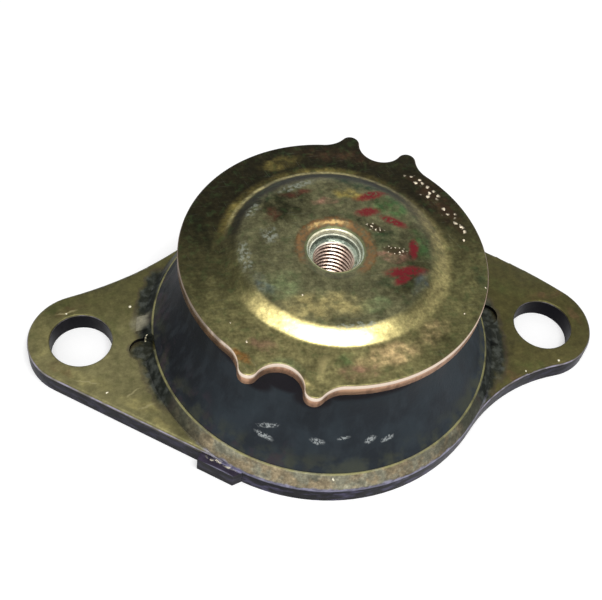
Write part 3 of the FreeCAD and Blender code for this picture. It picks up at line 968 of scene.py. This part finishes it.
def bushMaterial():
    look = bush
    shader = newShader("bushSteel")
    point = shader.place()
    x, y, z = shader.split(point)
    radius = shader.reach(point)
    back = shader.ramp(shader.bearing(point, look["backWay"]), 0.1, 0.9)
    front = shader.ramp(shader.bearing(point, look["frontWay"]), 0.3, 0.95)
    spotted = shader.spread(point, 0.9, 0.35, 0.65)
    # painted light: the lip, the ledge and the start of the thread are painted brighter behind the bore
    lip = shader.mix(look["lip"], look["lipBackLit"], back)
    lip = shader.mix(lip, look["lipFront"], front)
    hatch = shader.spread(shader.mapped(point, scale=(1.2, 1.2, 0.25)), 0.6, 0.42, 0.58)
    wall = shader.mix(look["wall"], look["wallBack"], back)
    wall = shader.mix(wall, look["hatch"], hatch * (0.25 + back * 0.6))
    ledge = shader.band(z, bush["ledge"] - 0.05, bush["ledge"] + 0.22, 0.08)
    wall = shader.mix(wall, look["ledgeHighlight"], ledge * (0.35 + back * 0.65))
    colour = shader.mix(wall, lip, shader.ramp(z, *look["lipFoot"]))
    colour = shader.shade(colour, 0.8 + spotted * 0.35)
    begins = bush["leadInHeight"]
    start = shader.ramp(radius, 5.7, 5.45) * shader.ramp(z, begins + 0.1, begins - 0.1)
    colour = shader.mix(colour, look["start"], start * (0.3 + back * 0.6))
    # painted shade in the thread valleys, and a painted highlight down the thread behind the bore
    land = shader.ramp(radius, 5.75, 5.3)
    thread = shader.mix(look["valleyShade"], look["crest"], land)
    threadHighlight = shader.ramp(shader.bearing(point, look["threadHighlightWay"]), 0.982, 0.998)
    threadHighlight = threadHighlight * (0.4 + shader.spread(point, 0.6, 0.4, 0.6) * 0.6)
    thread = shader.mix(thread, look["threadHighlight"], threadHighlight * (0.25 + land * 0.75))
    thread = shader.shade(thread, 0.75 + shader.spread(point, 0.8, 0.35, 0.65) * 0.4)
    colour = shader.mix(colour, thread, shader.ramp(z, bush["threadTop"] + 0.1, bush["threadTop"] - 0.15))
    rough = 0.24 + shader.grain(point, 1, 4) * 0.14
    normal = shader.bump(shader.grain(point, 0.6, 3), 0.02, 0.7)
    metal = 0.9 - shader.band(z, *look["dullWall"], 0.2) * 0.6
    return shader.finish({"Base Color": colour, "Metallic": metal, "Roughness": rough, "Normal": normal})


def makeThread():
    pitch, minor, major = bush["pitch"], bush["minorRadius"], bush["majorRadius"]
    flank = (major - minor) * math.tan(math.radians(30))
    crest = (pitch - 2 * flank) * 2 / 3
    mesh = bmesh.new()
    corners = [(minor, 0), (minor, crest), (major, crest + flank), (major, pitch - flank), (minor, pitch)]
    start = bush["threadEnd"] - pitch
    verts = [mesh.verts.new((radius * mm, 0, (start + height) * mm)) for radius, height in corners]
    for first, second in zip(verts, verts[1:]):
        mesh.edges.new((first, second))
    turns = math.ceil((bush["leadInHeight"] - start) / pitch) + 1
    steps = turns * bush["steps"]
    lift = Vector((0, 0, pitch * mm / bush["steps"]))
    bmesh.ops.spin(
        mesh,
        geom=list(mesh.verts) + list(mesh.edges),
        axis=(0, 0, 1),
        dvec=lift,
        angle=2 * math.pi * turns,
        steps=steps,
        use_duplicate=False,
    )
    bmesh.ops.remove_doubles(mesh, verts=mesh.verts, dist=2e-6)
    for vert in mesh.verts:
        radius, height = vert.co.xy.length / mm, vert.co.z / mm
        opening = (height - bush["threadTop"]) / (bush["leadInHeight"] - bush["threadTop"])
        widest = minor + (bush["leadInRadius"] - minor) * min(max(opening, 0.0), 1.0)
        fade = smoothShare((height - bush["threadEnd"] - 0.6) / pitch)
        wanted = max(minor + (radius - minor) * fade, widest)
        vert.co.xy *= wanted / radius
    for height, up in ((bush["leadInHeight"], 1), (bush["threadEnd"] + 0.3, -1)):
        bmesh.ops.bisect_plane(
            mesh,
            geom=list(mesh.verts) + list(mesh.edges) + list(mesh.faces),
            dist=1e-7,
            plane_co=(0, 0, height * mm),
            plane_no=(0, 0, up),
            clear_outer=True,
        )
    return mesh


def grow(mesh, edges, radius, height):  # carries an open ring on to the next radius and height
    made = bmesh.ops.extrude_edge_only(mesh, edges=edges)
    verts = [item for item in made["geom"] if isinstance(item, bmesh.types.BMVert)]
    for vert in verts:
        vert.co.xy *= radius * mm / vert.co.xy.length
        vert.co.z = height * mm
    return [item for item in made["geom"] if isinstance(item, bmesh.types.BMEdge)]


def makeBush(material):
    mesh = makeThread()
    middle = (bush["threadTop"] + bush["threadEnd"]) / 2 * mm
    rims = [edge for edge in mesh.edges if edge.is_boundary]
    upper = [edge for edge in rims if edge.verts[0].co.z > middle]
    lower = [edge for edge in rims if edge.verts[0].co.z < middle]
    rings = [(bush["leadInRadius"], bush["leadInHeight"])] + bush["mouthRings"] + [
        (bush["neckRadius"], bush["top"]),
        (bush["neckRadius"], bush["seat"]),
        (bush["bodyRadius"], bush["seat"]),
        (bush["bodyRadius"], bush["bottom"] + bush["bottomRound"]),
        (bush["bodyRadius"] - 0.45, bush["bottom"] + 0.45),
        (bush["bodyRadius"] - bush["bottomRound"], bush["bottom"]),
        (0.01, bush["bottom"]),
    ]
    for radius, height in rings:
        upper = grow(mesh, upper, radius, height)
    for radius, height in ((bush["minorRadius"], bush["threadEnd"]), (0.01, bush["threadEnd"])):
        lower = grow(mesh, lower, radius, height)
    bmesh.ops.remove_doubles(mesh, verts=mesh.verts, dist=2e-6)
    for level in (bush["bottom"], bush["threadEnd"]):
        inner = [vert for vert in mesh.verts if vert.co.xy.length < 0.05 * mm]
        pole = [vert for vert in inner if abs(vert.co.z - level * mm) < 1e-6]
        bmesh.ops.pointmerge(mesh, verts=pole, merge_co=(0, 0, level * mm))
    bmesh.ops.recalc_face_normals(mesh, faces=mesh.faces)
    sharpen(mesh, 35)
    addPiece("threadedBush", mesh, material, "threaded_bush")


# rubber spring

rubber = {
    "section": [  # radius, height and rounding, from the bush down the outside and back up the hollow
        (0, 21.0, 0),
        (10.5, 21.0, 0),
        (10.5, 39.7, 0),
        (23.73, 39.7, 0),
        (28.93, 37.2, 0),
        (37.4, 37.2, 0),
        (39.5, 23.4, 4.5),
        (45.9, 11.4, 0.5),
        (47.5, 9.9, 0.2),
        (47.5, 9.4, 0),
        (33.0, 9.4, 0),
        (33.0, 3.4, 0),
        (37.5, 3.4, 0),
        (37.5, 2.1, 0.4),
        (30.0, 2.1, 0.6),
        (11.0, 18.0, 3.0),
        (0, 18.0, 0),
    ],
    "steps": 256,
    "light": paint(42, 50, 56),
    "dark": paint(30, 36, 42),
    "left": paint(8, 13, 20),
    "paintedLighting": paint(12, 5, 14),
    "mould": paint(54, 62, 68),
    "dust": paint(78, 80, 62),
    "stain": paint(58, 46, 54),
    "chalk": paint(184, 190, 190),
    "mmPerDegree": 0.75,
    "lobes": [-126.8, -103.8, 53.2, 76.2],  # bearings of the lobes that shade the rubber
    "chalkDabs": [  # worn dabs of chalk: along the cone in degrees, height, half length, half width, turn
        (-117.5, 18.4, 3.8, 0.75, 18),
        (-118.0, 15.6, 3.2, 0.9, -8),
        (-99.6, 17.3, 2.4, 1.0, -10),
        (-90.6, 18.4, 2.2, 0.5, 12),
        (-81.0, 17.2, 2.0, 1.1, 14),
        (-74.6, 16.4, 2.4, 0.9, 10),
    ],
}


def rubberMaterial():
    look = rubber
    shader = newShader("springRubber")
    point = shader.place()
    x, y, z = shader.split(point)
    tone = shader.spread(wander(shader, point, 12, 10), 10, 0.35, 0.65)
    colour = shader.mix(look["dark"], look["light"], tone)
    # painted shade: the rubber is painted darker on the left, under the disc
    colour = shader.mix(look["left"], colour, shader.ramp(x - y * 0.7 + tone * 6, -32.0, 6.0))
    runs = shader.spread(shader.mapped(point, scale=(1.4, 1.4, 9)), 2.2, 0.45, 0.7, 4)
    colour = shader.mix(colour, look["mould"], runs * 0.3)
    dusty = shader.ramp(z, 16.0, 10.0) * shader.spread(point, 5, 0.4, 0.65, 4)
    colour = shader.mix(colour, look["dust"], dusty * 0.5)
    stainAndShade = shader.ramp(z, 20.0, 12.0) * shader.spread(wander(shader, point, 5, 5), 6, 0.5, 0.7, 3)
    stainAndShade = stainAndShade * shader.ramp(x, 0.0, -20.0)
    colour = shader.mix(colour, look["stain"], stainAndShade * 0.6)

    # about mm along the cone at the height of the chalk
    around = y.math("ARCTAN2", y, x) * (180 / math.pi) * look["mmPerDegree"]
    unrolled = shader.node("ShaderNodeCombineXYZ", None, {"X": around, "Y": z})
    # painted shadow: a dark band on the rubber under the rim of the disc, lower under each lobe
    shade = shader.ramp(z + tone * 0.8, 30.2, 32.2)
    for place in look["lobes"]:
        under = shader.spot(unrolled, place * look["mmPerDegree"], 30.6, 7.0, 4.6, 0.0, 0.6)
        shade = shade.over(under)
    colour = shader.mix(colour, look["paintedLighting"], shade * 0.95)
    wornAndLit = wander(shader, unrolled, 1.0, 1.1)
    dabs = [(place * look["mmPerDegree"], *rest) for place, *rest in look["chalkDabs"]]
    chalk = patches(shader, wornAndLit, dabs)
    chalk = chalk * shader.spread(point, 0.55, 0.4, 0.58, 4)
    colour = shader.mix(colour, look["chalk"], chalk * 0.8)

    normal = shader.bump(shader.spread(point, 0.8, 0.3, 0.7) + chalk, 0.03, 0.6)
    rough = 0.5 + tone * 0.12 + dusty * 0.2 + chalk * 0.3
    inputs = {"Base Color": colour, "Roughness": rough, "Normal": normal, "Specular IOR Level": 0.18}
    return shader.finish(inputs)


def makeRubber(material):
    mesh = lathe(rubber["section"])
    turn(mesh, [(360, rubber["steps"])])
    sharpen(mesh, 40)
    addPiece("rubberSpring", mesh, material, "rubber_spring")


print("base plate")
addPiece("basePlate", copyOf("base_plate"), plateMaterial(), "base_plate")

print("rubber spring")
makeRubber(rubberMaterial())

print("top disc")
makeTopDisc(discMaterial())

print("threaded bush")
makeBush(bushMaterial())
